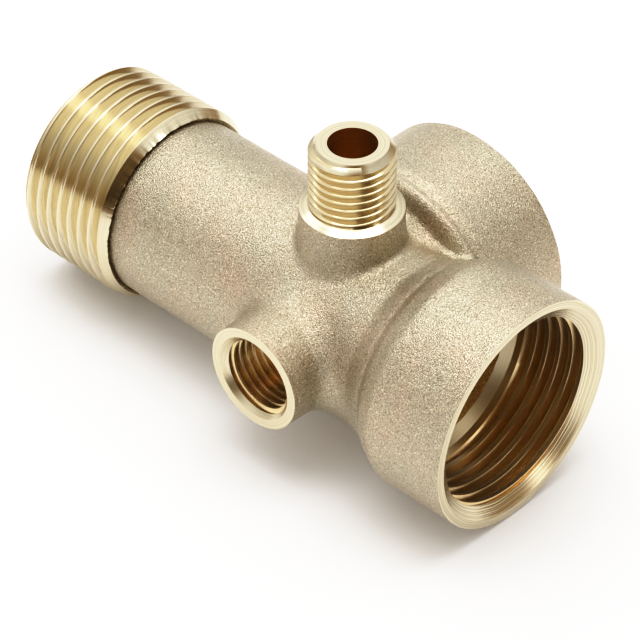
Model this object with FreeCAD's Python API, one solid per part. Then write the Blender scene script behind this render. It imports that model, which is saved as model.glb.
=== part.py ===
"""Five-way threaded brass fitting. Millimetres.

The run lies along X: outside thread at its -X end, large socket at its +X end.
The branch socket opens towards +Y, the small port towards -Y, the nipple stands up along +Z.
All five axes meet at the origin. Thread teeth are left out: outside threads are plain walls at
the crest radius and inside threads are plain walls at their crest radius.
"""

import FreeCAD
import Part
import math
import os

Vector = FreeCAD.Vector
ORIGIN = Vector(0, 0, 0)

# Large pipe thread, G1: radii of the outside and inside crests
large_outer_crest_r = 16.62
large_inner_crest_r = 15.15

# Small pipe thread, G1/4
small_outer_crest_r = 6.58
small_inner_crest_r = 5.72

# Water ways
run_bore_r = 12.5
branch_bore_under = 0.5
branch_bore_r = run_bore_r - branch_bore_under
nipple_bore_r = 3.75

# Cast tube that the ends grow from
wall_t = 2.35
tube_r = run_bore_r + wall_t
branch_neck_r = branch_bore_r + wall_t

# Outside thread end of the run
male_face_x = -56.5
male_lead = 1.4
male_runout_x = -38.9
male_band_end_x = -37.4
male_band_step = 0.65

# Large sockets: distance from the crossing to each mouth, and the shape they share
main_mouth = 34.4
branch_mouth = 27.3
socket_wall_t = 2.2
socket_mouth_r = large_outer_crest_r + socket_wall_t
socket_draft_deg = 0.5
socket_length = 13.4
shoulder_length = 7.2
shoulder_foot_share = 0.42
shoulder_foot_rise_share = 0.47
shoulder_foot_round = 2.0
shoulder_mid_round = 1.0
shoulder_top_round = 3.0

# Inside of a large socket, measured from its mouth
mouth_bevel_depth = 0.4
mouth_bevel_width = 0.88
relief_clearance = 0.03
relief_depth = 2.2
thread_depth = 12.9
thread_end_slope_deg = 30.0

# Small port
port_face = 21.3
port_face_r = 8.55
port_draft_deg = 2.5
port_sink_r = 7.0

# Nipple and the cast boss under it
boss_rim_z = 20.5
boss_rim_r = 7.93
boss_draft_deg = 2.5
collar_rise = 0.6
nipple_top_z = 32.0
nipple_face_r = 5.42
nipple_bore_edge = 0.2

# Blends of the casting
crossing_blend = 1.5
port_blend = 2.5
boss_blend = 1.5

# How far a hollow runs out past the face it opens in
cut_past = 1.0

# How close a point counts as lying on a surface
touching = 0.002


def rounded_outline(corners):
    """Flat face through (along, out, round) corners in the XZ plane, each rounded by its own radius."""
    spans = []
    for i, (along, out, radius) in enumerate(corners):
        corner = Vector(along, 0, out)
        if radius == 0:
            spans.append((corner, corner, None))
            continue
        before = Vector(corners[i - 1][0], 0, corners[i - 1][1])
        after = Vector(corners[(i + 1) % len(corners)][0], 0, corners[(i + 1) % len(corners)][1])
        back = (before - corner).normalize()
        ahead = (after - corner).normalize()
        half = back.getAngle(ahead) / 2
        centre = corner + (back + ahead).normalize() * (radius / math.sin(half))
        middle = centre + (corner - centre).normalize() * radius
        reach = radius / math.tan(half)
        spans.append((corner + back * reach, corner + ahead * reach, middle))
    edges = []
    for i, (start, end, middle) in enumerate(spans):
        if middle:
            edges.append(Part.Arc(start, middle, end).toShape())
        following = spans[(i + 1) % len(spans)][0]
        edges.append(Part.makeLine(end, following))
    return Part.Face(Part.Wire(edges))


def turned(corners):
    """Solid turned about the X axis from an outline of (along, radius, round) corners."""
    return rounded_outline(corners).revolve(ORIGIN, Vector(1, 0, 0), 360)


def towards_y(shape):
    """The same shape with +X swung round to +Y."""
    shape.rotate(ORIGIN, Vector(0, 0, 1), 90)
    return shape


def towards_minus_y(shape):
    """The same shape with +X swung round to -Y."""
    shape.rotate(ORIGIN, Vector(0, 0, 1), -90)
    return shape


def upwards(shape):
    """The same shape with +X swung round to +Z."""
    shape.rotate(ORIGIN, Vector(0, 1, 0), -90)
    return shape


def closed_below(shape):
    """The same shape turned so that its surfaces close up on the underside, clear of the bosses."""
    shape.rotate(ORIGIN, Vector(1, 0, 0), 180)
    return shape


def lies_on(edge, shape):
    """Whether an edge runs along the skin of a shape."""
    first, last = edge.FirstParameter, edge.LastParameter
    points = [edge.valueAt(first + (last - first) * share) for share in (0.2, 0.5, 0.8)]
    skin = shape.Shells[0]
    return all(skin.distToShape(Part.Vertex(point))[0] < touching for point in points)


def within_foot(blend, length, end_r, draft_deg):
    """A boss's blend, kept on the stretch of tube between the boss and the main socket's shoulder."""
    foot = main_mouth - socket_length - shoulder_length
    boss_r_at_tube = end_r + (length - tube_r) * math.tan(math.radians(draft_deg))
    return min(blend, (foot - boss_r_at_tube) / 2)


def blended(first, second, radius):
    """Two shapes made one, with the corner where their skins meet rounded by a blend."""
    whole = first.fuse(second).removeSplitter()
    seam = [edge for edge in whole.Edges if lies_on(edge, first) and lies_on(edge, second)]
    return whole.makeFillet(radius, seam).Solids[0]


def socket_corners(mouth, neck_r):
    """Outside corners of a large socket from the foot of its shoulder to its mouth."""
    back = mouth - socket_length
    foot = back - shoulder_length
    back_r = socket_mouth_r + socket_length * math.tan(math.radians(socket_draft_deg))
    rise = back_r - neck_r
    knee = foot + shoulder_length * shoulder_foot_share
    knee_r = neck_r + rise * shoulder_foot_rise_share
    return [
        (foot, neck_r, shoulder_foot_round),
        (knee, knee_r, shoulder_mid_round),
        (back, back_r, shoulder_top_round),
        (mouth, socket_mouth_r, 0),
        (mouth, 0, 0),
    ]


def socket_hollow(mouth, bore_r):
    """Space inside a large socket: bevelled mouth, relief, thread and the taper down to the bore."""
    relief_r = large_outer_crest_r + relief_clearance
    relief_end = mouth - relief_depth
    lead_end = relief_end - (relief_r - large_inner_crest_r)
    thread_end = mouth - thread_depth
    slope = math.tan(math.radians(thread_end_slope_deg))
    taper_end = thread_end - (large_inner_crest_r - bore_r) * slope
    return turned([
        (mouth + cut_past, 0, 0),
        (mouth + cut_past, relief_r + mouth_bevel_width, 0),
        (mouth, relief_r + mouth_bevel_width, 0),
        (mouth - mouth_bevel_depth, relief_r, 0),
        (relief_end, relief_r, 0),
        (lead_end, large_inner_crest_r, 0),
        (thread_end, large_inner_crest_r, 0),
        (taper_end, bore_r, 0),
        (taper_end, 0, 0),
    ])


def run_outside():
    """Run with its outside thread, the plain band behind it, the tube and the main socket."""
    band_end_r = tube_r + male_band_step
    return closed_below(turned([
        (male_face_x, 0, 0),
        (male_face_x, large_outer_crest_r - male_lead, 0),
        (male_face_x + male_lead, large_outer_crest_r, 0),
        (male_runout_x, large_outer_crest_r, 0),
        (male_band_end_x, band_end_r, 0),
        (male_band_end_x, tube_r, 0),
    ] + socket_corners(main_mouth, tube_r)))


def branch_outside():
    """Branch from the crossing to its socket's mouth."""
    return towards_y(turned([(0, 0, 0), (0, branch_neck_r, 0)] + socket_corners(branch_mouth, branch_neck_r)))


def drafted_boss(length, end_r, draft_deg):
    """Round cast boss along X from the crossing, wider at its root."""
    start_r = end_r + length * math.tan(math.radians(draft_deg))
    return turned([(0, 0, 0), (0, start_r, 0), (length, end_r, 0), (length, 0, 0)])


def nipple():
    """Sloped collar ring and nipple, from the boss's rim to the top face."""
    lead = small_outer_crest_r - nipple_face_r
    return upwards(turned([
        (boss_rim_z, 0, 0),
        (boss_rim_z, boss_rim_r, 0),
        (boss_rim_z + collar_rise, small_outer_crest_r, 0),
        (nipple_top_z - lead, small_outer_crest_r, 0),
        (nipple_top_z, nipple_face_r, 0),
        (nipple_top_z, 0, 0),
    ]))


def nipple_hollow():
    """Bore from the run up through the nipple, with a broken edge at the top."""
    return upwards(turned([
        (0, 0, 0),
        (0, nipple_bore_r, 0),
        (nipple_top_z - nipple_bore_edge, nipple_bore_r, 0),
        (nipple_top_z, nipple_bore_r + nipple_bore_edge, 0),
        (nipple_top_z + cut_past, nipple_bore_r + nipple_bore_edge, 0),
        (nipple_top_z + cut_past, 0, 0),
    ]))


def port_hollow():
    """Threaded hole of the small port with its countersunk mouth."""
    sink = port_sink_r - small_inner_crest_r
    return towards_minus_y(turned([
        (0, 0, 0),
        (0, small_inner_crest_r, 0),
        (port_face - sink, small_inner_crest_r, 0),
        (port_face, port_sink_r, 0),
        (port_face + cut_past, port_sink_r, 0),
        (port_face + cut_past, 0, 0),
    ]))


def run_hollow():
    """Straight bore of the run, open at the outside thread's end."""
    return turned([
        (male_face_x - cut_past, 0, 0),
        (male_face_x - cut_past, run_bore_r, 0),
        (main_mouth - thread_depth, run_bore_r, 0),
        (main_mouth - thread_depth, 0, 0),
    ])


def branch_hollow():
    """Straight bore of the branch, from the run's bore to its socket."""
    return towards_y(turned([
        (0, 0, 0),
        (0, branch_bore_r, 0),
        (branch_mouth - thread_depth, branch_bore_r, 0),
        (branch_mouth - thread_depth, 0, 0),
    ]))


def fitting_body():
    """The whole fitting: cast outside first, then every hollow."""
    port = towards_minus_y(drafted_boss(port_face, port_face_r, port_draft_deg))
    boss = upwards(drafted_boss(boss_rim_z, boss_rim_r, boss_draft_deg))
    body = blended(run_outside(), branch_outside(), crossing_blend)
    body = blended(body, port, within_foot(port_blend, port_face, port_face_r, port_draft_deg))
    body = blended(body, boss, within_foot(boss_blend, boss_rim_z, boss_rim_r, boss_draft_deg))
    body = body.fuse(nipple())
    hollows = [
        run_hollow(),
        branch_hollow(),
        socket_hollow(main_mouth, run_bore_r),
        towards_y(socket_hollow(branch_mouth, branch_bore_r)),
        port_hollow(),
        nipple_hollow(),
    ]
    for hollow in hollows:
        body = body.cut(hollow)
    return body.removeSplitter().Solids[0]


os.makedirs("parts", exist_ok=True)
fitting_body().exportStep("parts/fitting_body.step")
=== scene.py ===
"""Five-way brass fitting: the looks. Blender 4.5, metres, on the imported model's frame.

Shapes are worked out in millimetres and scaled once, when they become meshes. The run lies along X,
the branch socket opens towards +Y, the small port towards -Y and the nipple stands up along +Z.
"""

import bpy
import numpy as np
from mathutils import Matrix, Vector


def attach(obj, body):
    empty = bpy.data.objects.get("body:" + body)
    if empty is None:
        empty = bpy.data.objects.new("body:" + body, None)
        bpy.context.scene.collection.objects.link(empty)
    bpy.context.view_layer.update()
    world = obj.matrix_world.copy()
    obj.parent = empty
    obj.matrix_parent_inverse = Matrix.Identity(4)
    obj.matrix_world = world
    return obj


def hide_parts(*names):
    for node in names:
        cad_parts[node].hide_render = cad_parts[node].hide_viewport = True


MM = 0.001

# Threads: pitch, crest radius outside, crest radius inside
LARGE_PITCH, LARGE_OUTER_R, LARGE_INNER_R = 2.309, 16.62, 15.45
SMALL_PITCH, SMALL_OUTER_R, SMALL_INNER_R = 1.337, 6.58, 5.80

# Slope of a thread flank, across per depth, and shares of a pitch that are flat crest
FLANK = np.tan(np.radians(27.5))
OUTSIDE_FLAT = 0.19
INSIDE_FLAT = 0.28
SMALL_FLAT = 0.24

# Where the middle of one crest of each thread lies: along its axis, degrees round it
MALE_CREST = (-50.24, 136)
MAIN_CREST = (30.5, 0)
BRANCH_CREST = (23, 0)
PORT_CREST = (21.3, 0)
NIPPLE_CREST = (29.75, -135)

# Where the outside threads run out: full depth, none
MALE_FADE = (-39.6, -38.6)
NIPPLE_FADE = (22.3, 21.1)

# Water ways
RUN_BORE_R = 12.5
BRANCH_BORE_R = 12.0
NIPPLE_BORE_R = 3.75

# Cast tube and the neck of the branch
TUBE_R = 14.85
NECK_R = 14.35

# Outside thread end of the run
MALE_FACE = -56.5
MALE_LEAD = 1.4
MALE_RUNOUT = -38.9
MALE_BAND_END = -37.4
MALE_BAND_R = 15.5
MALE_BAND_RAGGED = 0.055

# Large sockets: mouths, wall, shoulders as (along, out, round) corners, bevel, thread, taper and throat
MAIN_MOUTH = 34.4
BRANCH_MOUTH = 27.3
SOCKET_MOUTH_R = 18.82
SOCKET_BACK_R = 18.94
SOCKET_LENGTH = 13.4
RUN_SHOULDER = [(12.6, TUBE_R, 3.0), (15.8, 16.22, 0.3), (16.2, 16.2, 0.15), (17.7, 17.5, 0.5),
                (20.7, SOCKET_BACK_R, 2.5)]
BRANCH_SHOULDER = [(6.7, NECK_R, 2.0), (9.4, 15.8, 0.8), (10.1, 17.9, 0.6), (10.95, 18.8, 0.5),
                   (12.2, 18.42, 0.3), (13.2, SOCKET_BACK_R, 0.8)]
BEVEL_R = 17.5
BEVEL_LEAN = np.radians(55)
BEVEL_REACH = 3.0
THREAD_TOP = 1.25
THREAD_DEPTH = 13.1
CORE_DEPTH = 14.1
TAPER_LEAN = np.radians(50)
TAPER_TIP_R = 11
TAPER_END_R = 13.9
THROAT_LENGTH = 6.0
CORED_UNEVEN = 0.03

# Small port
PORT_FACE = 21.3
PORT_FACE_R = 8.55
PORT_SINK_R = 7.0
BOSS_DRAFT = np.tan(np.radians(2.5))

# Nipple and its boss
RIM_Z = 20.5
RIM_R = 7.93
COLLAR_Z = 21.1
NIPPLE_TOP = 32.0
NIPPLE_FACE_R = 5.42

# Blends of the casting
CROSSING_BLEND = 1.5
PORT_BLEND = 2.5
BOSS_BLEND = 0.9

# How far castings and tools run past a face before it is cut, how far outlines of the casting reach past
# their axis, and how far out the facing tools reach
PAST = 1.8
PAST_AXIS = -60
TOOL_PAST = 6
LARGE_TOOL_R = 24
SMALL_TOOL_R = 11

# Unevenness of the casting: height, size of its waves, seed
CAST_WAVES = ((0.03, 9.0, 3), (0.010, 1.6, 8))

# Mesh fineness, the half angle at which a corner counts as straight, and the sharpest turn between two
# turned faces that is shaded as round
SKIN_STEP = 0.56
STRAIGHT = 1.569
ROUND_TURN = np.radians(20)
LARGE_SEGMENTS = 160
SMALL_SEGMENTS = 96

# Colours of the finishes
TURNED_COLOUR = (0.79, 0.71, 0.52)
TAPPED_COLOUR = (0.86, 0.68, 0.40)
SMALL_THREAD_COLOUR = (0.70, 0.60, 0.40)
DRILLED_COLOUR = (0.60, 0.52, 0.36)
CAST_PALE = (0.65, 0.60, 0.475)
CAST_WARM = (0.67, 0.595, 0.465)
CAST_PINK = (0.71, 0.595, 0.47)
CORE_COLOUR = (0.80, 0.59, 0.26)
NIPPLE_BORE_COLOUR = (0.92, 0.60, 0.26)

# Grain of the casting: size of its facets and of the finer relief on them
FACET = 0.2
FINE_RELIEF = 0.15

# Fine scratches on the casting: where each starts and ends, and how wide a scratch looks
SCRATCHES = (
    ((-16.6, -14.2, 4.2), (-14.3, -14.4, 3.8)),
    ((-26.3, -14.6, 2.5), (-22.9, -14.6, 2.8)),
    ((-14.9, -8.5, 12.2), (-14.2, -7.7, 12.7)),
)
SCRATCH_WIDTH = 0.3

# Room light from the horizon up to overhead, how much brighter it is on the far left side, and the dim and
# the bright light between which it turns from warm to white
ROOM = ((0.0, 0.40), (0.14, 0.56), (0.4, 0.98), (0.85, 1.45), (1.0, 1.65))
FAR_LEFT = np.radians(160)
SIDE_SHARE = 0.42
DIM = (0.42, (1.0, 0.68, 0.34))
BRIGHT = (0.97, (1.0, 1.0, 1.0))

# Darker parts of the room: azimuth and elevation, angles where the shade ends and where it is full, and the
# share of light left
SHADES = (
    ((-38, 30), (37, 21), 0.25),
    ((-136, 20), (26, 12), 0.76),
)

# Floor: half its width, its height under the crossing, its slopes along X and Y, its own light
FLOOR_REACH = 3000
FLOOR_HEIGHT = -18.3
FLOOR_SLOPES = (-0.0304, -0.0460)
FLOOR_GLOW = 0.12

# Camera: its right, up and back directions, its place, its focal length and the photograph's width in
# pixels, and the width of its sensor
CAMERA_RIGHT = (0.7264, 0.6872, 0.0005)
CAMERA_UP = (-0.4436, 0.4684, 0.7641)
CAMERA_BACK = (0.5249, -0.5553, 0.6451)
CAMERA_PLACE = (235.45, -255.96, 291.96)
FOCAL_PIXELS = 2984.2
PHOTO_PIXELS = 640
SENSOR = 36

# How light shows in the picture: (light, shown) pairs
TONES = ((0.0, 0.0), (0.1, 0.038), (0.25, 0.135), (0.5, 0.345), (0.75, 0.59), (1.0, 0.81), (1.25, 0.94),
         (1.5, 1.0))

# Soft boxes: azimuth and elevation, distance, width and height in millimetres, turn about its own axis, light
LAMPS = (
    ("overhead_left", (230, 79), 600, 240, 380, 40, 3.2),
    ("overhead_right", (50, 79), 600, 240, 380, -140, 3.2),
    ("window_right", (15, 11), 650, 150, 330, 0, 1.9),
    ("back_left", (178, 50), 700, 170, 260, 0, 1.0),
)


# Placing


def along_x(points):
    """Points turned about X stay as they are."""
    return points


def towards_y(points):
    """Points with +X swung round to +Y: (x, y, z) goes to (-y, x, z)."""
    return np.stack([-points[..., 1], points[..., 0], points[..., 2]], -1)


def towards_minus_y(points):
    """Points with +X swung round to -Y: (x, y, z) goes to (y, -x, z)."""
    return np.stack([points[..., 1], -points[..., 0], points[..., 2]], -1)


def upwards(points):
    """Points with +X swung round to +Z: (x, y, z) goes to (-z, y, x)."""
    return np.stack([-points[..., 2], points[..., 1], points[..., 0]], -1)


def made_object(name, points, faces, material):
    """Object from points in millimetres and an array of quads or triangles."""
    mesh = bpy.data.meshes.new(name)
    width = faces.shape[1]
    mesh.vertices.add(len(points))
    mesh.vertices.foreach_set("co", (points * MM).astype(np.float32).ravel())
    mesh.loops.add(faces.size)
    mesh.loops.foreach_set("vertex_index", faces.astype(np.int32).ravel())
    mesh.polygons.add(len(faces))
    mesh.polygons.foreach_set("loop_start", np.arange(0, faces.size, width, dtype=np.int32))
    mesh.update(calc_edges=True)
    mesh.validate()
    mesh.materials.append(material)
    piece = bpy.data.objects.new(name, mesh)
    bpy.context.scene.collection.objects.link(piece)
    return piece


# Cast skin


def rounded(corners, steps=7):
    """Outline through (along, out, round) corners: each corner is replaced by an arc of its radius that
    touches both of its sides, drawn with a few short chords."""
    out = []
    for before, corner, after in zip(corners[:-2], corners[1:-1], corners[2:]):
        here = np.array(corner[:2])
        back = np.array(before[:2]) - here
        ahead = np.array(after[:2]) - here
        back, ahead = back / np.linalg.norm(back), ahead / np.linalg.norm(ahead)
        half = np.arccos(np.clip(back @ ahead, -1, 1)) / 2
        if corner[2] == 0 or half > STRAIGHT:
            out.append(here[None])
            continue
        reach = corner[2] / np.tan(half)
        middle = here + (back + ahead) / np.linalg.norm(back + ahead) * corner[2] / np.sin(half)
        start, end = here + back * reach - middle, here + ahead * reach - middle
        first = np.arctan2(start[1], start[0])
        turn = (np.arctan2(end[1], end[0]) - first + np.pi) % (2 * np.pi) - np.pi
        angle = first + turn * np.linspace(0, 1, steps)
        out.append(middle + corner[2] * np.stack([np.cos(angle), np.sin(angle)], -1))
    return np.concatenate([np.array([corners[0][:2]])] + out + [np.array([corners[-1][:2]])])


def outline_distance(outline, along, out):
    """Signed distance from (along, out) to a closed outline: the least distance to any of its sides,
    negative where a ray crosses the sides an odd number of times."""
    along, out = np.broadcast_arrays(along, out)
    least = np.full(along.shape, 1e9)
    inside = np.zeros(along.shape, bool)
    for (ax, ay), (bx, by) in zip(outline, np.roll(outline, -1, axis=0)):
        dx, dy = bx - ax, by - ay
        share = np.clip(((along - ax) * dx + (out - ay) * dy) / (dx * dx + dy * dy), 0, 1)
        least = np.minimum(least, (along - ax - share * dx) ** 2 + (out - ay - share * dy) ** 2)
        if dy != 0:
            inside ^= ((ay > out) != (by > out)) & (along < (out - ay) * dx / dy + ax)
    return np.sqrt(least) * np.where(inside, -1.0, 1.0)


def socket_outline(mouth, start, shoulder):
    """Outline of a tube with a large socket on its end: the shoulder's corners, then a wall that tapers a
    little to just past the mouth."""
    slope = (SOCKET_BACK_R - SOCKET_MOUTH_R) / SOCKET_LENGTH
    return rounded([
        (start, PAST_AXIS, 0),
        (start, shoulder[0][1], 0),
        *shoulder,
        (mouth + PAST, SOCKET_MOUTH_R - slope * PAST, 0),
        (mouth + PAST, PAST_AXIS, 0),
    ])


def boss_outline(length, end_r):
    """Outline of a drafted round boss from the crossing to a little past its face."""
    return np.array([
        (0, PAST_AXIS),
        (0, end_r + length * BOSS_DRAFT),
        (length + PAST, end_r - PAST * BOSS_DRAFT),
        (length + PAST, PAST_AXIS),
    ])


RUN_OUTLINE = socket_outline(MAIN_MOUTH, MALE_FACE + 6, RUN_SHOULDER)
BRANCH_OUTLINE = socket_outline(BRANCH_MOUTH, 0, BRANCH_SHOULDER)
PORT_OUTLINE = boss_outline(PORT_FACE, PORT_FACE_R)
NIPPLE_BOSS_OUTLINE = boss_outline(RIM_Z, RIM_R)


def blended(first, second, radius):
    """Distance to two shapes as one with their corner filled by an arc: radius less the length of
    (radius - first, radius - second), neither below zero, or the smaller distance where it is larger."""
    u = np.maximum(radius - first, 0)
    v = np.maximum(radius - second, 0)
    return np.maximum(radius, np.minimum(first, second)) - np.hypot(u, v)


def cast_distance(x, y, z):
    """Distance to the outside of the casting, before anything is turned on it."""
    run = outline_distance(RUN_OUTLINE, x, np.hypot(y, z))
    branch = outline_distance(BRANCH_OUTLINE, y, np.hypot(x, z))
    port = outline_distance(PORT_OUTLINE, -y, np.hypot(x, z))
    boss = outline_distance(NIPPLE_BOSS_OUTLINE, z, np.hypot(x, y))
    body = blended(run, branch, CROSSING_BLEND)
    body = blended(body, port, PORT_BLEND)
    return blended(body, boss, BOSS_BLEND)


def zero_surface(distance, low, high, step):
    """Closed mesh where distance is zero. Each grid cell that the surface passes through gets one point,
    the mean of where it cuts the cell's edges, and each cut grid edge joins the four cells around it."""
    axes = [np.arange(a, b + step, step) for a, b in zip(low, high)]
    x, y, z = np.meshgrid(*axes, indexing="ij", sparse=True)
    shape = tuple(len(a) for a in axes)
    values = np.broadcast_to(distance(x, y, z), shape)
    cells = tuple(n - 1 for n in shape)
    total = np.zeros(cells + (3,))
    count = np.zeros(cells)
    cuts = []
    for axis in range(3):
        near = np.moveaxis(values, axis, 0)[:-1]
        far = np.moveaxis(values, axis, 0)[1:]
        cut = (near < 0) != (far < 0)
        share = np.where(cut, near / np.where(cut, near - far, 1), 0)
        cut, share = np.moveaxis(cut, 0, axis), np.moveaxis(share, 0, axis)
        cuts.append((cut, np.moveaxis(near < 0, 0, axis)))
        spots = np.stack(np.meshgrid(*[np.arange(n) for n in cut.shape], indexing="ij"), -1).astype(float)
        spots[..., axis] += share
        spots *= cut[..., None]
        others = [a for a in range(3) if a != axis]
        for p in (0, 1):
            for q in (0, 1):
                part = [slice(None)] * 3
                part[others[0]] = slice(p, p + cells[others[0]])
                part[others[1]] = slice(q, q + cells[others[1]])
                total += spots[tuple(part)]
                count += cut[tuple(part)]
    used = count > 0
    number = np.full(cells, -1)
    number[used] = np.arange(used.sum())
    points = total[used] / count[used][:, None] * step + np.array(low)
    quads = []
    for axis, (cut, outward) in enumerate(cuts):
        u, v = (axis + 1) % 3, (axis + 2) % 3
        at = np.argwhere(cut)
        at = at[(at[:, u] > 0) & (at[:, v] > 0) & (at[:, u] < cells[u]) & (at[:, v] < cells[v])]
        around = []
        for du, dv in ((1, 1), (0, 1), (0, 0), (1, 0)):
            cell = at.copy()
            cell[:, u] -= du
            cell[:, v] -= dv
            around.append(number[tuple(cell.T)])
        quad = np.stack(around, -1)
        flip = ~outward[tuple(at.T)]
        quad[flip] = quad[flip][:, ::-1]
        quads.append(quad)
    return points, np.concatenate(quads)


def slopes(distance, points, reach=0.04):
    """Direction in which distance grows fastest at each point, from small steps along each axis."""
    out = []
    for axis in range(3):
        step = np.zeros(3)
        step[axis] = reach
        out.append(distance(*(points + step).T) - distance(*(points - step).T))
    out = np.stack(out, -1)
    return out / np.linalg.norm(out, axis=1)[:, None]


def unevenness(points, size, seed):
    """Smooth random height at each point: a sum of sine waves of about that size in random directions."""
    random = np.random.default_rng(seed)
    waves = random.normal(size=(14, 3))
    waves *= 2 * np.pi / size / np.linalg.norm(waves, axis=1)[:, None] * random.uniform(0.7, 1.5, (14, 1))
    return np.sin(points @ waves.T + random.uniform(0, 2 * np.pi, 14)).sum(1) / np.sqrt(14)


def cast_skin(material):
    """Outside of the casting, drawn onto its true surface and then made a little uneven."""
    low = (MALE_FACE + 4, -PORT_FACE - 3, -21)
    high = (MAIN_MOUTH + 3, BRANCH_MOUTH + 3, RIM_Z + 3)
    points, quads = zero_surface(cast_distance, low, high, SKIN_STEP)
    for _ in range(3):
        away = slopes(cast_distance, points)
        points = points - away * cast_distance(*points.T)[:, None]
    height = sum(rise * unevenness(points, size, seed) for rise, size, seed in CAST_WAVES)
    return made_object("casting", points + away * height[:, None], quads, material)


# Turned shapes


def grid_faces(rows, columns, shift=0):
    """Quads of a tube-shaped grid whose last column joins the first, shift rows further on."""
    row, column = np.meshgrid(np.arange(rows - 1), np.arange(columns), indexing="ij")
    following = column + 1
    step = np.where(following == columns, shift, 0)
    following = following % columns
    quads = np.stack([
        row * columns + column,
        (row + step) * columns + following,
        (row + step + 1) * columns + following,
        (row + 1) * columns + column,
    ], -1)
    ok = (row + step + 1) < rows
    return quads[ok]


def turned(name, outline, segments, place, material, ragged=None, uneven=0.0):
    """Solid of revolution: an outline of (along, radius) points, both ends on the axis, carried round X.
    ragged is (row, amount): that row wanders along the axis by random steps of that size. uneven is how far
    the skin wanders in and out."""
    outline = np.array(outline, float)
    ring = outline[1:-1]
    angle = np.arange(segments) * 2 * np.pi / segments
    along = np.repeat(ring[:, :1], segments, 1)
    if ragged:
        steps = np.random.default_rng(5).normal(0, ragged[1], segments)
        along[ragged[0]] += 0.6 * steps + 0.4 * np.roll(steps, 1) + np.roll(steps, 2) * 0.3
    points = np.stack([along, ring[:, 1:] * np.cos(angle), ring[:, 1:] * np.sin(angle)], -1).reshape(-1, 3)
    points[:, 1:] *= 1 + uneven / ring[:, 1].max() * unevenness(points, 2.5, 4)[:, None]
    ends = np.array([(outline[0, 0], 0, 0), (outline[-1, 0], 0, 0)])
    quads = grid_faces(len(ring), segments)
    k = np.arange(segments)
    after = (k + 1) % segments
    last = (len(ring) - 1) * segments
    first_fan = np.stack([np.full(segments, len(points)), after, k], -1)
    last_fan = np.stack([np.full(segments, len(points) + 1), last + k, last + after], -1)
    return closed_object(name, np.concatenate([points, ends]), quads, [first_fan, last_fan], place, material)


def closed_object(name, points, quads, triangles, place, material):
    """Closed object of quads split in two and triangles, placed and turned the right way out."""
    faces = np.concatenate([quads[:, [0, 1, 2]], quads[:, [0, 2, 3]]] + triangles)
    points = place(points)
    a, b, c = (points[faces[:, i]] for i in range(3))
    if np.einsum("ij,ij->i", np.cross(a, b), c).sum() < 0:
        faces = faces[:, ::-1]
    return made_object(name, points, faces, material)


def thread_form(flat, inside):
    """Places across one pitch, in pitches from the crest's middle, and the depth there: a flat crest with
    softly broken edges, flanks at 27.5 degrees and a narrow root. The crest of an inside thread's tool
    lies a little inside the drilled hole, so that the two never share a surface."""
    edge = flat / 2
    foot = 0.444 if inside else 0.43
    floor = (foot - edge) / FLANK
    if inside:
        places = [-0.5, -foot, -edge - 0.02, -edge + 0.02, edge - 0.02, edge + 0.02, foot]
        depths = [floor + 0.006, floor, 0.010, -0.012, -0.012, 0.010, floor]
    else:
        places = [-0.5, -foot, -edge - 0.008, -edge + 0.01, -edge + 0.04, edge - 0.04, edge - 0.01,
                  edge + 0.008, foot]
        depths = [floor + 0.006, floor, 0.016, 0.004, 0.0, 0.0, 0.004, 0.016, floor]
    return np.array(places), np.array(depths)


def screw(name, size, crest, span, segments, place, material, inside=False, fade=None):
    """Threaded rod along X over span. Its points lie on a grid that climbs one pitch a turn, so that crests
    and roots run along it: the radius is the crest radius less the depth of the thread form, or plus it for
    the tool of an inside thread, and the depth fades out between the two places in fade. size is (pitch,
    crest radius, flat share), crest is (along, degrees from +Y) of one crest."""
    pitch, crest_r, flat = size
    shares, depths = thread_form(flat, inside)
    shift = len(shares)
    first = np.floor((span[0] - crest[0]) / pitch) - 1
    turns = int(np.ceil((span[1] - span[0]) / pitch)) + 3
    steps = (crest[0] + pitch * (first + np.arange(turns)[:, None] + shares)).ravel()
    angle = np.arange(segments) * 2 * np.pi / segments
    climb = pitch * (angle - np.radians(crest[1] % 360)) / (2 * np.pi)
    along = steps[:, None] + climb
    depth = pitch * np.tile(depths, turns)[:, None] * np.ones(segments)
    if fade:
        depth = depth * ((fade[1] - along) / (fade[1] - fade[0])).clip(0, 1)
    radius = crest_r + depth if inside else crest_r - depth
    points = np.stack([along, radius * np.cos(angle), radius * np.sin(angle)], -1).reshape(-1, 3)
    rows, last = len(steps), segments - 1
    ends = np.array([(along[0].mean(), 0, 0), (along[-1].mean(), 0, 0)])
    low_rim = np.concatenate([np.arange(segments), np.arange(shift, 0, -1) * segments])
    high_rim = np.concatenate([
        (rows - 1) * segments + np.arange(segments),
        np.arange(rows - 2, rows - 2 - shift, -1) * segments + last,
    ])
    low = np.stack([np.full(len(low_rim), len(points)), np.roll(low_rim, -1), low_rim], -1)
    high = np.stack([np.full(len(high_rim), len(points) + 1), high_rim, np.roll(high_rim, -1)], -1)
    quads = grid_faces(rows, segments, shift)
    return closed_object(name, np.concatenate([points, ends]), quads, [low, high], place, material)


# Cutting and joining


def worked(body, tool, how):
    """The body after a tool is cut out of it or joined to it. Faces keep the finish they come from."""
    change = body.modifiers.new("work", "BOOLEAN")
    change.operation = how
    change.solver = "MANIFOLD"
    change.material_mode = "TRANSFER"
    change.object = tool
    view = bpy.context.evaluated_depsgraph_get()
    mesh = bpy.data.meshes.new_from_object(body.evaluated_get(view))
    body.modifiers.clear()
    old = body.data
    body.data = mesh
    bpy.data.meshes.remove(old)
    bpy.data.objects.remove(tool)
    return body


# The fitting


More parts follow.
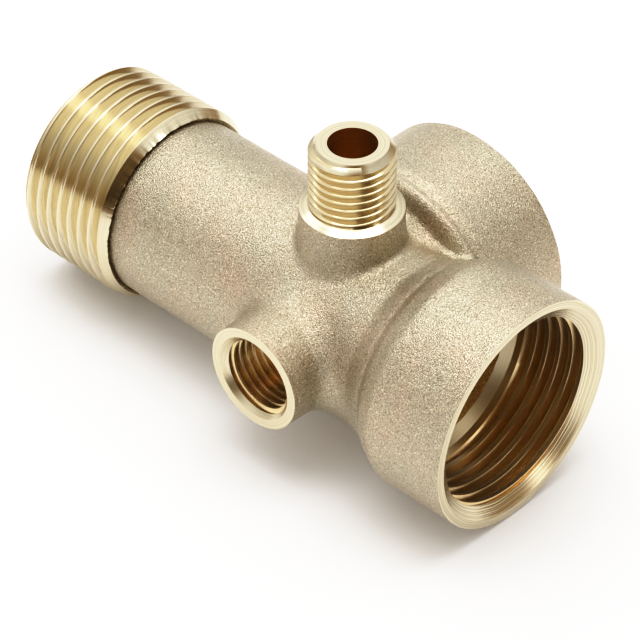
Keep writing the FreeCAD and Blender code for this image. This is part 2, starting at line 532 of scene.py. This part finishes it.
def mouth_tool(mouth, place, material):
    """Face and bevel of a large socket."""
    return turned("mouth_tool", [
        (mouth + TOOL_PAST, 0),
        (mouth + TOOL_PAST, LARGE_TOOL_R),
        (mouth, LARGE_TOOL_R),
        (mouth, BEVEL_R),
        (mouth - BEVEL_REACH, BEVEL_R - BEVEL_REACH * np.tan(BEVEL_LEAN)),
        (mouth - BEVEL_REACH, 0),
    ], LARGE_SEGMENTS, place, material)


def core_tool(mouth, place, material):
    """Core drilled for the thread of a large socket, and the taper at its end."""
    core_end = mouth - CORE_DEPTH
    tip = core_end - (LARGE_INNER_R - TAPER_TIP_R) / np.tan(TAPER_LEAN)
    return turned("core_tool", [
        (mouth + TOOL_PAST, 0),
        (mouth + TOOL_PAST, LARGE_INNER_R),
        (core_end, LARGE_INNER_R),
        (tip, TAPER_TIP_R),
        (tip, 0),
    ], LARGE_SEGMENTS, place, material)


def cored_hole(mouth, bore_r, bore_end, place, material):
    """Water way left by the sand core: a throat behind the taper that narrows to the bore, all uneven."""
    taper_end = mouth - CORE_DEPTH - (LARGE_INNER_R - TAPER_END_R) / np.tan(TAPER_LEAN)
    throat_end = taper_end - THROAT_LENGTH
    throat = [(along, np.interp(along, (throat_end, taper_end), (bore_r, TAPER_END_R)))
              for along in np.arange(taper_end + 0.9, throat_end, -0.8)]
    bore = [(along, bore_r) for along in np.linspace(throat_end, bore_end, 14)]
    return turned("cored_hole", [(throat[0][0], 0), *throat, *bore, (bore_end, 0)], LARGE_SEGMENTS, place,
                  material, uneven=CORED_UNEVEN)


def socket_thread(mouth, crest, place, material):
    """Thread cut into a large socket. It runs out at its inner end and stops behind the bevel."""
    rod = screw("socket_rod", (LARGE_PITCH, LARGE_INNER_R, INSIDE_FLAT), crest, (mouth - 17, mouth + 4),
                LARGE_SEGMENTS, place, material, inside=True)
    start = mouth - THREAD_DEPTH
    around = turned("socket_limit", [
        (start, 0),
        (start, LARGE_INNER_R - 0.2),
        (start + 1.4, LARGE_OUTER_R + 0.4),
        (mouth - THREAD_TOP - 0.4, LARGE_OUTER_R + 0.4),
        (mouth - THREAD_TOP, LARGE_INNER_R - 0.1),
        (mouth - THREAD_TOP, 0),
    ], LARGE_SEGMENTS, place, material)
    return worked(rod, around, "INTERSECT")


def male_end(material):
    """Threaded end of the run with its lead and the plain band behind the thread."""
    rod = screw("male_rod", (LARGE_PITCH, LARGE_OUTER_R, OUTSIDE_FLAT), MALE_CREST,
                (MALE_FACE - 2, MALE_BAND_END + 3), LARGE_SEGMENTS, along_x, material, fade=MALE_FADE)
    around = turned("male_limit", [
        (MALE_FACE, 0),
        (MALE_FACE, LARGE_OUTER_R - MALE_LEAD),
        (MALE_FACE + MALE_LEAD + 0.05, LARGE_OUTER_R + 0.05),
        (MALE_RUNOUT - 0.07, LARGE_OUTER_R + 0.05),
        (MALE_BAND_END - 0.1, MALE_BAND_R + 0.075),
        (MALE_BAND_END, MALE_BAND_R),
        (MALE_BAND_END - 0.5, TUBE_R - 0.2),
        (MALE_BAND_END - 0.5, 0),
    ], 3 * LARGE_SEGMENTS, along_x, material, ragged=(4, MALE_BAND_RAGGED))
    return worked(rod, around, "INTERSECT")


def nipple(thread, material):
    """Threaded nipple with its chamfered top, standing in the boss. Its thread runs out above the collar."""
    rod = screw("nipple_rod", (SMALL_PITCH, SMALL_OUTER_R, OUTSIDE_FLAT), NIPPLE_CREST,
                (RIM_Z - 1.5, NIPPLE_TOP + 1), SMALL_SEGMENTS, upwards, thread, fade=NIPPLE_FADE)
    lead = SMALL_OUTER_R - NIPPLE_FACE_R
    around = turned("nipple_limit", [
        (RIM_Z - 1, 0),
        (RIM_Z - 1, SMALL_OUTER_R + 0.2),
        (NIPPLE_TOP - lead - 0.2, SMALL_OUTER_R + 0.2),
        (NIPPLE_TOP, NIPPLE_FACE_R),
        (NIPPLE_TOP, 0),
    ], SMALL_SEGMENTS, upwards, material)
    return worked(rod, around, "INTERSECT")


def collar_tool(material):
    """Spot face that leaves the sloped ring on the boss round the nipple."""
    slope = (COLLAR_Z - RIM_Z) / (RIM_R - SMALL_OUTER_R)
    return turned("collar_tool", [
        (RIM_Z + TOOL_PAST, 0),
        (RIM_Z + TOOL_PAST, RIM_R + 1.5),
        (RIM_Z - 1.5 * slope, RIM_R + 1.5),
        (COLLAR_Z, SMALL_OUTER_R),
        (COLLAR_Z, 0),
    ], SMALL_SEGMENTS, upwards, material)


def port_tool(material):
    """Face, countersink and core of the small port."""
    sink = PORT_SINK_R - SMALL_INNER_R
    return turned("port_tool", [
        (0, 0),
        (0, SMALL_INNER_R),
        (PORT_FACE - sink, SMALL_INNER_R),
        (PORT_FACE, PORT_SINK_R),
        (PORT_FACE, SMALL_TOOL_R),
        (PORT_FACE + TOOL_PAST, SMALL_TOOL_R),
        (PORT_FACE + TOOL_PAST, 0),
    ], SMALL_SEGMENTS, towards_minus_y, material)


def port_thread(material):
    """Thread cut right through the small port."""
    return screw("port_rod", (SMALL_PITCH, SMALL_INNER_R, SMALL_FLAT), PORT_CREST, (8, PORT_FACE + 2),
                 SMALL_SEGMENTS, towards_minus_y, material, inside=True)


def nipple_bore(material):
    """Straight hole down through the nipple to the crossing."""
    end = NIPPLE_TOP + 1
    return turned("nipple_bore", [(0, 0), (0, NIPPLE_BORE_R), (end, NIPPLE_BORE_R), (end, 0)], SMALL_SEGMENTS,
                  upwards, material)


def fitting(finish):
    """The whole fitting as one closed skin: the casting, then each end joined on or cut out."""
    body = cast_skin(finish["cast"])
    body = worked(body, collar_tool(finish["nipple"]), "DIFFERENCE")
    body = worked(body, nipple(finish["nipple_thread"], finish["nipple"]), "UNION")
    body = worked(body, male_end(finish["thread"]), "UNION")
    for mouth, bore_r, bore_end, place, end in (
        (MAIN_MOUTH, RUN_BORE_R, MALE_FACE - 1, along_x, "run"),
        (BRANCH_MOUTH, BRANCH_BORE_R, 0, towards_y, "branch"),
    ):
        body = worked(body, cored_hole(mouth, bore_r, bore_end, place, finish["cored"]), "DIFFERENCE")
        body = worked(body, core_tool(mouth, place, finish["core_" + end]), "DIFFERENCE")
        body = worked(body, mouth_tool(mouth, place, finish[end]), "DIFFERENCE")
    body = worked(body, port_tool(finish["port"]), "DIFFERENCE")
    body = worked(body, nipple_bore(finish["drilled"]), "DIFFERENCE")
    main_thread = socket_thread(MAIN_MOUTH, MAIN_CREST, along_x, finish["tapped_run"])
    body = worked(body, main_thread, "DIFFERENCE")
    branch_thread = socket_thread(BRANCH_MOUTH, BRANCH_CREST, towards_y, finish["tapped_branch"])
    body = worked(body, branch_thread, "DIFFERENCE")
    body = worked(body, port_thread(finish["tapped_branch"]), "DIFFERENCE")
    body.name = body.data.name = "fitting"
    body.data.polygons.foreach_set("use_smooth", np.ones(len(body.data.polygons), bool))
    body.data.set_sharp_from_angle(angle=ROUND_TURN)
    soften(body.data, [finish["cast"], finish["cored"]])
    return body


def soften(mesh, soft):
    """Smooth shading over every edge that has only faces of the soft finishes."""
    edge = np.zeros(len(mesh.loops), np.int32)
    slot, loops = np.zeros((2, len(mesh.polygons)), np.int32)
    mesh.loops.foreach_get("edge_index", edge)
    mesh.polygons.foreach_get("material_index", slot)
    mesh.polygons.foreach_get("loop_total", loops)
    hard = np.array([m not in soft for m in mesh.materials])[slot]
    keep = np.zeros(len(mesh.edges), bool)
    keep[edge[np.repeat(hard, loops)]] = True
    marks = mesh.attributes["sharp_edge"].data
    sharp = np.zeros(len(mesh.edges), bool)
    marks.foreach_get("value", sharp)
    marks.foreach_set("value", sharp & keep)


# Finishes


class Nodes:
    """Short way to build a material's nodes."""

    def __init__(self, name):
        self.material = bpy.data.materials.new(name)
        self.material.use_nodes = True
        self.tree = self.material.node_tree
        self.shader = self.tree.nodes["Principled BSDF"]
        self.place = self.add("ShaderNodeTexCoord").outputs["Object"]

    def add(self, kind, settings=None, **inputs):
        """A node of that kind, with its settings, and its inputs set to numbers or joined to outputs."""
        node = self.tree.nodes.new(kind)
        for key, value in (settings or {}).items():
            setattr(node, key, value)
        for key, value in inputs.items():
            socket = node.inputs[int(key[1:])] if key[0] == "i" and key[1:].isdigit() else node.inputs[key]
            if isinstance(value, bpy.types.NodeSocket):
                self.tree.links.new(value, socket)
            else:
                socket.default_value = value
        return node

    def maths(self, how, a, b=0.0):
        """Result of one sum."""
        return self.add("ShaderNodeMath", {"operation": how}, i0=a, i1=b).outputs[0]

    def noise(self, size, detail=2.0):
        """Cloudy pattern, about size millimetres across."""
        return self.add("ShaderNodeTexNoise", Vector=self.place, Scale=1 / (size * MM), Detail=detail,
                        Roughness=0.5).outputs["Fac"]

    def ramp(self, value, stops):
        """Colours along a value."""
        node = self.add("ShaderNodeValToRGB", Fac=value)
        while len(node.color_ramp.elements) < len(stops):
            node.color_ramp.elements.new(0.5)
        for element, (spot, colour) in zip(node.color_ramp.elements, stops):
            element.position = spot
            element.color = (*colour, 1)
        return node.outputs["Color"]

    def bump(self, height, distance, strength, under=None):
        """Relief of that height in millimetres."""
        node = self.add("ShaderNodeBump", Height=height, Distance=distance * MM, Strength=strength)
        if under:
            self.tree.links.new(under, node.inputs["Normal"])
        return node.outputs["Normal"]


def scratched(n):
    """Brighter on a few fine scratches, each a straight line between two points."""
    least = None
    for start, end in SCRATCHES:
        run = np.array(end) - start
        off = n.add("ShaderNodeVectorMath", {"operation": "SUBTRACT"}, i0=n.place,
                    i1=tuple(np.array(start) * MM))
        share = n.add("ShaderNodeVectorMath", {"operation": "DOT_PRODUCT"}, i0=off.outputs[0],
                      i1=tuple(run / (run @ run) / MM)).outputs["Value"]
        near = n.add("ShaderNodeVectorMath", {"operation": "SCALE"}, i0=tuple(run * MM))
        n.tree.links.new(n.add("ShaderNodeClamp", Value=share).outputs[0], near.inputs["Scale"])
        gap = n.add("ShaderNodeVectorMath", {"operation": "DISTANCE"}, i0=off.outputs[0],
                    i1=near.outputs[0]).outputs["Value"]
        least = gap if least is None else n.maths("MINIMUM", least, gap)
    return n.ramp(n.maths("DIVIDE", least, SCRATCH_WIDTH * MM), [(0.15, (1.5, 1.5, 1.5)), (0.4, (1, 1, 1))])


def cast_brass(name, tones, rough=0.35):
    """Sand-blasted casting: a relief of fine facets a fifth of a millimetre across with a few glints painted
    in as brighter facets, patches of the three tones, painted shade on the casting just past the plain band
    behind the thread and, in places, what is left of the ground parting line."""
    n = Nodes(name)
    split = n.add("ShaderNodeSeparateXYZ", Vector=n.place)
    grain = n.add("ShaderNodeTexVoronoi", {"feature": "F1"}, Vector=n.place, Scale=1 / (FACET * MM))
    far = grain.outputs["Distance"]
    chance = n.add("ShaderNodeSeparateColor", Color=grain.outputs["Color"]).outputs[0]
    patch = n.ramp(n.noise(9, 3), [(0.38, tones[0]), (0.55, tones[1]), (0.7, tones[2])])
    shade = n.ramp(far, [(0.1, (1.16, 1.16, 1.16)), (0.45, (0.95, 0.95, 0.95)), (0.8, (0.62, 0.59, 0.53))])
    # Painted highlight: a few random facets get a brighter colour, standing in for glints of light on the
    # grain.
    painted_glint = n.ramp(chance, [(0.0, (0.93, 0.93, 0.93)), (0.88, (1.0, 1.0, 1.0)), (0.96, (1.35, 1.35, 1.35))])
    # Painted shade: the casting is darkened in a ragged strip just past the plain band behind the thread,
    # where the step down from the band lies.
    past_band = n.maths("SUBTRACT", split.outputs["X"], (MALE_BAND_END - 0.3) * MM)
    past_band = n.maths("DIVIDE", past_band, 2.0 * MM)
    painted_step_shade = n.ramp(n.maths("ADD", past_band, n.maths("MULTIPLY", n.noise(0.5, 2), 0.5)),
                  [(0.25, (0.30, 0.26, 0.20)), (0.6, (1, 1, 1))])
    colour = patch
    for layer in (shade, painted_glint, painted_step_shade, scratched(n)):
        colour = n.add("ShaderNodeMix", {"data_type": "RGBA", "blend_type": "MULTIPLY"}, i0=1.0, i6=colour,
                       i7=layer).outputs[2]
    n.tree.links.new(colour, n.shader.inputs["Base Color"])
    n.shader.inputs["Metallic"].default_value = 1
    n.shader.inputs["Roughness"].default_value = rough
    off_line = n.maths("DIVIDE", split.outputs["Z"], 0.12 * MM)
    ridge = n.maths("EXPONENT", n.maths("MULTIPLY", n.maths("MULTIPLY", off_line, off_line), -1.0))
    kept = n.ramp(n.noise(7, 2), [(0.52, (0, 0, 0)), (0.58, (1, 1, 1))])
    under = n.bump(n.maths("MULTIPLY", ridge, kept), 0.10, 1.0)
    under = n.bump(n.maths("MULTIPLY", far, -1.0), 0.075, 0.9, under)
    n.tree.links.new(n.bump(n.noise(FINE_RELIEF, 1), 0.10, 1.0, under), n.shader.inputs["Normal"])
    return n.material


def machined_brass(name, axis, depth=0.012, spacing=0.16, rough=0.2, colour=TURNED_COLOUR, dark=0.85):
    """Turned brass: fine rings, spaced along the axis and across the faces, as low as dark times its colour
    in their grooves, and a slight chatter round it."""
    n = Nodes(name)
    split = n.add("ShaderNodeSeparateXYZ", Vector=n.place)
    across = [split.outputs[c] for c in "XYZ" if c != axis]
    out = n.maths("SQRT", n.maths("ADD", n.maths("MULTIPLY", across[0], across[0]),
                                  n.maths("MULTIPLY", across[1], across[1])))
    waver = n.maths("MULTIPLY", n.noise(6, 2), 0.5 * MM)
    spot = n.maths("ADD", n.maths("ADD", split.outputs[axis], n.maths("MULTIPLY", out, 0.83)), waver)
    marks = n.add("ShaderNodeTexNoise", {"noise_dimensions": "1D"}, W=spot, Scale=1 / (spacing * MM),
                  Detail=2.0)
    tint = n.ramp(marks.outputs["Fac"], [(0.36, tuple(c * dark for c in colour)), (0.6, colour)])
    n.tree.links.new(tint, n.shader.inputs["Base Color"])
    n.shader.inputs["Metallic"].default_value = 1
    n.shader.inputs["Roughness"].default_value = rough
    under = n.bump(n.noise(1.6, 2), 0.010, 0.5)
    n.tree.links.new(n.bump(marks.outputs["Fac"], depth, 0.6, under), n.shader.inputs["Normal"])
    return n.material


# Stage


def floor():
    """Wide pale floor that touches the two sockets and the thread's end underneath, lit a little from below
    like a light table."""
    corners = FLOOR_REACH * np.array([(-1, -1), (1, -1), (1, 1), (-1, 1)], float)
    points = np.column_stack([corners, FLOOR_HEIGHT + corners @ np.array(FLOOR_SLOPES)])
    n = Nodes("pale_floor")
    n.shader.inputs["Base Color"].default_value = (0.93, 0.93, 0.94, 1)
    n.shader.inputs["Roughness"].default_value = 0.6
    n.shader.inputs["Specular IOR Level"].default_value = 0.2
    n.shader.inputs["Emission Color"].default_value = (1, 0.98, 0.96, 1)
    n.shader.inputs["Emission Strength"].default_value = FLOOR_GLOW
    piece = made_object("floor", points, np.array([[0, 1, 2, 3]]), n.material)


def pointing(azimuth, elevation):
    """Direction at that azimuth and elevation in degrees."""
    round_z, up = np.radians(azimuth), np.radians(elevation)
    return np.array((np.cos(round_z) * np.cos(up), np.sin(round_z) * np.cos(up), np.sin(up)))


def room():
    """Pale room: a ramp of light with height, plus a share of how far a direction points to the far left
    side, never below a dim light, less in its darker parts and warmer where it is dim."""
    world = bpy.data.worlds.new("studio")
    bpy.context.scene.world = world
    world.use_nodes = True
    tree = world.node_tree

    def add(kind, how=None, *values):
        """A node of that kind, with its inputs in order joined to outputs or set to values."""
        node = tree.nodes.new("ShaderNode" + kind)
        if how:
            node.operation = how
        for socket, value in zip(node.inputs, values):
            if isinstance(value, bpy.types.NodeSocket):
                tree.links.new(value, socket)
            else:
                socket.default_value = value
        return node

    def colour_ramp(value, stops):
        """Colours along a value."""
        node = add("ValToRGB", None, value)
        while len(node.color_ramp.elements) < len(stops):
            node.color_ramp.elements.new(0.5)
        for element, (spot, colour) in zip(node.color_ramp.elements, stops):
            element.position = spot
            element.color = (*colour, 1)
        return node.outputs["Color"]

    way = add("TexCoord").outputs["Generated"]
    height = add("SeparateXYZ", None, way).outputs["Z"]
    ramp = colour_ramp(height, [(spot, (light,) * 3) for spot, light in ROOM])
    far_left = (SIDE_SHARE * np.cos(FAR_LEFT), SIDE_SHARE * np.sin(FAR_LEFT), 0)
    aside = add("VectorMath", "DOT_PRODUCT", way, far_left).outputs["Value"]
    light = add("Math", "MAXIMUM", add("Math", "ADD", ramp, aside).outputs[0], DIM[0]).outputs[0]
    for middle, (ends, full), left in SHADES:
        towards = add("VectorMath", "DOT_PRODUCT", way, tuple(pointing(*middle))).outputs["Value"]
        edges = (np.cos(np.radians(ends)), np.cos(np.radians(full)))
        shade = add("MapRange", None, towards, *edges, 1.0, left).outputs["Result"]
        light = add("Math", "MULTIPLY", light, shade).outputs[0]
    background = tree.nodes["Background"]
    tree.links.new(light, background.inputs["Strength"])
    tree.links.new(colour_ramp(light, (DIM, BRIGHT)), background.inputs["Color"])


def soft_boxes():
    """Lamps, each as strong as its light times its area asks for, facing the crossing."""
    for name, where, far, width, height, turn, light in LAMPS:
        data = bpy.data.lights.new(name, "AREA")
        data.shape = "RECTANGLE"
        data.size, data.size_y = width * MM, height * MM
        data.energy = light * np.pi * data.size * data.size_y
        where = Vector(pointing(*where))
        lamp = bpy.data.objects.new(name, data)
        facing = where.to_track_quat("Z", "Y").to_matrix() @ Matrix.Rotation(np.radians(turn), 3, "Z")
        lamp.matrix_world = Matrix.Translation(where * far * MM) @ facing.to_4x4()
        bpy.context.scene.collection.objects.link(lamp)


def picture_tones():
    """How light shows in the picture, as a curve through TONES."""
    view = bpy.context.scene.view_settings
    view.view_transform = "Standard"
    view.use_curve_mapping = True
    mapping = view.curve_mapping
    mapping.white_level = (TONES[-1][0],) * 3
    for light, shown in TONES[1:-1]:
        mapping.curves[3].points.new(light / TONES[-1][0], shown)
    mapping.update()


def camera():
    """Camera where the photograph was taken from, worked out from the fitting's round edges."""
    data = bpy.data.cameras.new("photo")
    data.sensor_width = SENSOR
    data.lens = SENSOR * FOCAL_PIXELS / PHOTO_PIXELS
    data.clip_start = 0.01
    data.clip_end = 20
    eye = bpy.data.objects.new("photo", data)
    rows = zip(CAMERA_RIGHT, CAMERA_UP, CAMERA_BACK, (where * MM for where in CAMERA_PLACE))
    eye.matrix_world = Matrix([*rows, (0, 0, 0, 1)])
    bpy.context.scene.collection.objects.link(eye)
    bpy.context.scene.camera = eye


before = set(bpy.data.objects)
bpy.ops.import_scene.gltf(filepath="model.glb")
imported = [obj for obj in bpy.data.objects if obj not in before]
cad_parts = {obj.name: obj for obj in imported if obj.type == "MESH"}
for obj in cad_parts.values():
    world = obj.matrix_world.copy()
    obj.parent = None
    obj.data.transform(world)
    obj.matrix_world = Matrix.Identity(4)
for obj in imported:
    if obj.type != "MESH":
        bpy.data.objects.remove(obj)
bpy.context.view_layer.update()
body = fitting({
    "cast": cast_brass("cast_brass", (CAST_PALE, CAST_WARM, CAST_PINK)),
    "cored": cast_brass("cored_brass", (CORE_COLOUR,) * 3, rough=0.45),
    "drilled": machined_brass("drilled_nipple", "Z", depth=0.02, rough=0.35, colour=NIPPLE_BORE_COLOUR),
    "core_run": machined_brass("drilled_run", "X", depth=0.01, rough=0.35, colour=DRILLED_COLOUR),
    "core_branch": machined_brass("drilled_branch", "Y", depth=0.01, rough=0.35, colour=DRILLED_COLOUR),
    "thread": machined_brass("turned_thread", "X", depth=0.004, rough=0.15),
    "run": machined_brass("turned_run", "X", depth=0.05, spacing=0.28, rough=0.24, dark=0.7),
    "branch": machined_brass("turned_branch", "Y", depth=0.05, spacing=0.28, rough=0.24, dark=0.7),
    "port": machined_brass("turned_port", "Y", depth=0.012, rough=0.32),
    "nipple": machined_brass("turned_nipple", "Z", depth=0.004, rough=0.16),
    "nipple_thread": machined_brass("nipple_thread", "Z", depth=0.004, rough=0.16,
                                    colour=SMALL_THREAD_COLOUR),
    "tapped_run": machined_brass("tapped_run", "X", depth=0.004, rough=0.26, colour=TAPPED_COLOUR),
    "tapped_branch": machined_brass("tapped_branch", "Y", depth=0.004, rough=0.26, colour=TAPPED_COLOUR),
})
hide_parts("fitting_body")
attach(body, "root")
floor()
room()
soft_boxes()
picture_tones()
camera()
